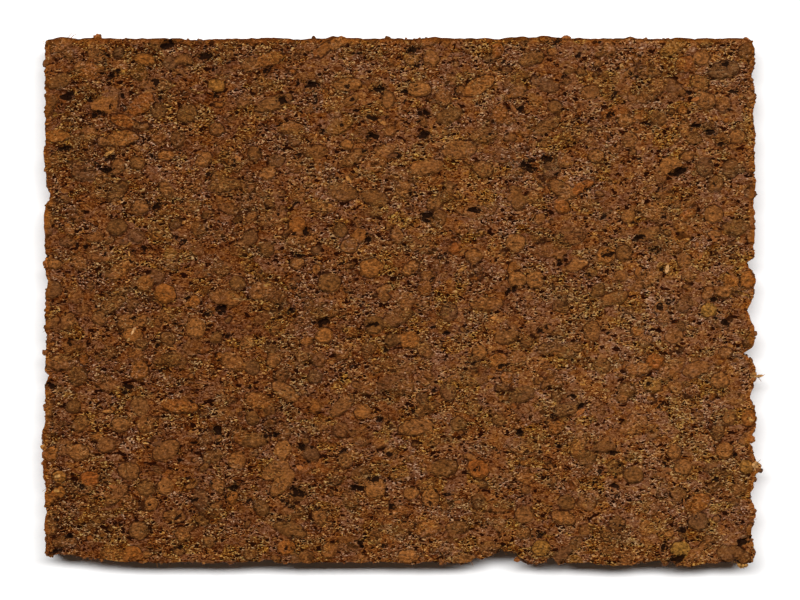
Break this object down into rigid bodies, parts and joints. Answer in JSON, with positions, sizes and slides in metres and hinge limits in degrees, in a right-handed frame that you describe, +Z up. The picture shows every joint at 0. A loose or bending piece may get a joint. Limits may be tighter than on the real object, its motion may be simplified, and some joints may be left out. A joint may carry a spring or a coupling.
{
  "type": "dark rye bread slice",
  "caption": "Rectangular slice of dense dark wholegrain rye bread with cut kernels, small pores and crumbled edges, lying flat.",
  "frame": {"origin": "middle of the slice's box, on the plane that it rests on", "axes": "+X along the slice's length, +Y across it towards its straight back edge, +Z up through its thickness"},
  "size_m": [0.1186, 0.0876, 0.0075],
  "materials": {
    "crumb": "matte"
  },
  "bodies": {
    "root": {"slice": "crumb"}
  },
  "joints": []
}
